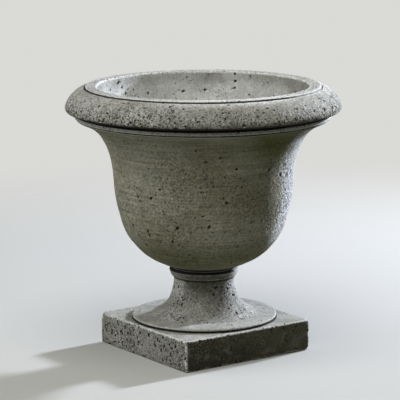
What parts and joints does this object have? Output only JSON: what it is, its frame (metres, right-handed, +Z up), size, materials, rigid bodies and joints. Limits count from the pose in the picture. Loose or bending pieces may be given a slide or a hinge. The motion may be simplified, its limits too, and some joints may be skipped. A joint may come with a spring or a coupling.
{
  "type": "garden urn planter",
  "caption": "Cast-stone garden urn: bell-shaped bowl with a rolled rim, lift-off on a waisted round pedestal bedded on a square plinth.",
  "frame": {"origin": "centre of the plinth's underside, on the ground", "axes": "+Z up along the axis of the urn; X and Y along the sides of the square plinth"},
  "size_m": [0.508, 0.508, 0.493],
  "materials": {
    "cast_stone": "weathered grey cast stone, finely pitted",
    "bedding_mortar": "dark damp mortar",
    "seal_rubber": "matt black rubber",
    "drain_plastic": "grey plastic tube",
    "pin_steel": "stainless bar"
  },
  "bodies": {
    "stand": {"plinth": "cast_stone", "foot_bed_ring": "bedding_mortar", "pedestal": "cast_stone", "bowl_seat_ring": "seal_rubber", "drain_sleeve": "drain_plastic", "bowl_pin_1": "pin_steel", "bowl_pin_2": "pin_steel", "bowl_pin_3": "pin_steel", "stem_rod_1": "pin_steel", "stem_rod_2": "pin_steel", "stem_rod_3": "pin_steel"},
    "bowl_body": {"bowl": "cast_stone"}
  },
  "joints": [
    {"name": "bowl_lift", "type": "slide", "parent": "stand", "child": "bowl_body", "axis": [0, 0, 1], "range_m": [0, 0.12]}
  ]
}
